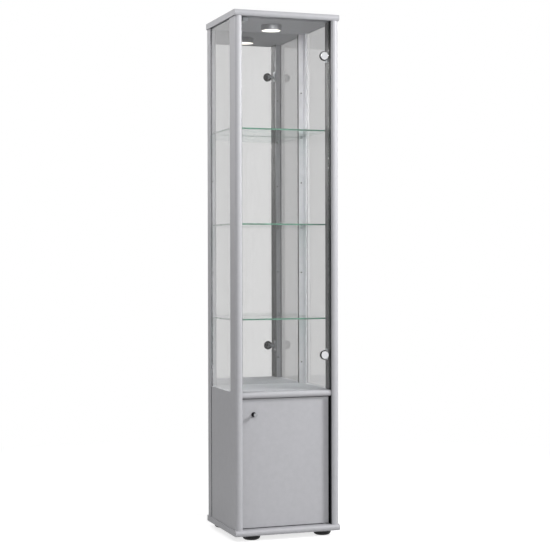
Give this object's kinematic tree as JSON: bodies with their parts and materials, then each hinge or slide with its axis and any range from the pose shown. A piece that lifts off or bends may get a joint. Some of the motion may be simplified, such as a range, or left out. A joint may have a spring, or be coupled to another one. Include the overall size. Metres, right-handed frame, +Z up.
{
  "type": "glass display case",
  "caption": "Tall narrow display case with glass sides, mirror back, glass shelves, ceiling spot, hinged glass door and a base cupboard.",
  "frame": {"origin": "on the floor, in the middle of the case's footprint", "axes": "+X to the right when facing the doors, +Y from the doors to the back, +Z up"},
  "size_m": [0.37, 0.33, 1.76],
  "materials": {
    "silver_foil": "chipboard and fibreboard wrapped in satin silver foil",
    "clear_glass": "clear float glass with polished greenish edges",
    "mirror_glass": "silvered mirror glass",
    "hardboard": "brown hardboard",
    "beech": "raw beech dowel",
    "polished_chrome": "polished chrome plate",
    "satin_nickel": "satin nickel plate",
    "zinc_steel": "zinc-plated steel",
    "black_plastic": "black moulded plastic",
    "black_rubber": "black rubber",
    "frosted_lens": "frosted glass lens",
    "lamp_ceramic": "white ceramic",
    "bulb_glass": "clear bulb glass",
    "grey_plastic": "grey moulded plastic",
    "white_plastic": "white nylon",
    "silver_plastic": "silver-grey plastic cover cap"
  },
  "bodies": {
    "case": {"top_board": "silver_foil", "mid_board": "silver_foil", "bottom_board": "silver_foil", "front_left_stile": "silver_foil", "front_right_stile": "silver_foil", "back_left_post": "silver_foil", "back_right_post": "silver_foil", "left_glass_pane": "clear_glass", "right_glass_pane": "clear_glass", "back_mirror": "mirror_glass", "mirror_backing": "hardboard", "backing_screws": "zinc_steel", "base_left_panel": "silver_foil", "base_right_panel": "silver_foil", "base_back_panel": "silver_foil", "wood_dowels": "beech", "top_glass_shelf": "clear_glass", "middle_glass_shelf": "clear_glass", "bottom_glass_shelf": "clear_glass", "top_shelf_pins": "polished_chrome", "middle_shelf_pins": "polished_chrome", "bottom_shelf_pins": "polished_chrome", "lamp_base": "lamp_ceramic", "lamp_housing": "satin_nickel", "lamp_lens": "frosted_lens", "lamp_socket": "lamp_ceramic", "lamp_bulb": "bulb_glass", "lamp_screws": "zinc_steel", "lead_grommet": "black_rubber", "front_left_foot": "black_plastic", "front_right_foot": "black_plastic", "back_left_foot": "black_plastic", "back_right_foot": "black_plastic", "foot_screws": "zinc_steel", "top_frame_screws": "zinc_steel", "bottom_frame_screws": "zinc_steel", "screw_caps": "silver_plastic", "upper_hinge_arm": "zinc_steel", "lower_hinge_arm": "zinc_steel", "hinge_screws": "zinc_steel", "touch_catch_body": "grey_plastic", "catch_screws": "zinc_steel", "pivot_bushes": "white_plastic", "magnet_catch_body": "white_plastic"},
    "glass_door": {"glass_door_pane": "clear_glass", "upper_hinge_cap": "polished_chrome", "lower_hinge_cap": "polished_chrome", "upper_hinge_cup": "black_plastic", "lower_hinge_cup": "black_plastic", "upper_hinge_pin": "zinc_steel", "lower_hinge_pin": "zinc_steel", "touch_catch_strike": "zinc_steel"},
    "base_door": {"base_door_panel": "silver_foil", "base_door_knob": "satin_nickel", "knob_screw": "zinc_steel", "base_door_pivots": "zinc_steel", "magnet_catch_strike": "zinc_steel"},
    "catch_plunger": {"touch_catch_plunger": "white_plastic"}
  },
  "joints": [
    {"name": "glass_door_swing", "type": "hinge", "parent": "case", "child": "glass_door", "pos_m": [0.142, -0.135, 1.1175], "axis": [0, 0, 1], "range_deg": [0, 90]},
    {"name": "base_door_swing", "type": "hinge", "parent": "case", "child": "base_door", "pos_m": [0.142, -0.127, 0.2575], "axis": [0, 0, 1], "range_deg": [0, 90]},
    {"name": "catch_plunger_push", "type": "slide", "parent": "case", "child": "catch_plunger", "axis": [0, 1, 0], "range_m": [0, 0.003], "stiffness_N_per_m": 400}
  ]
}
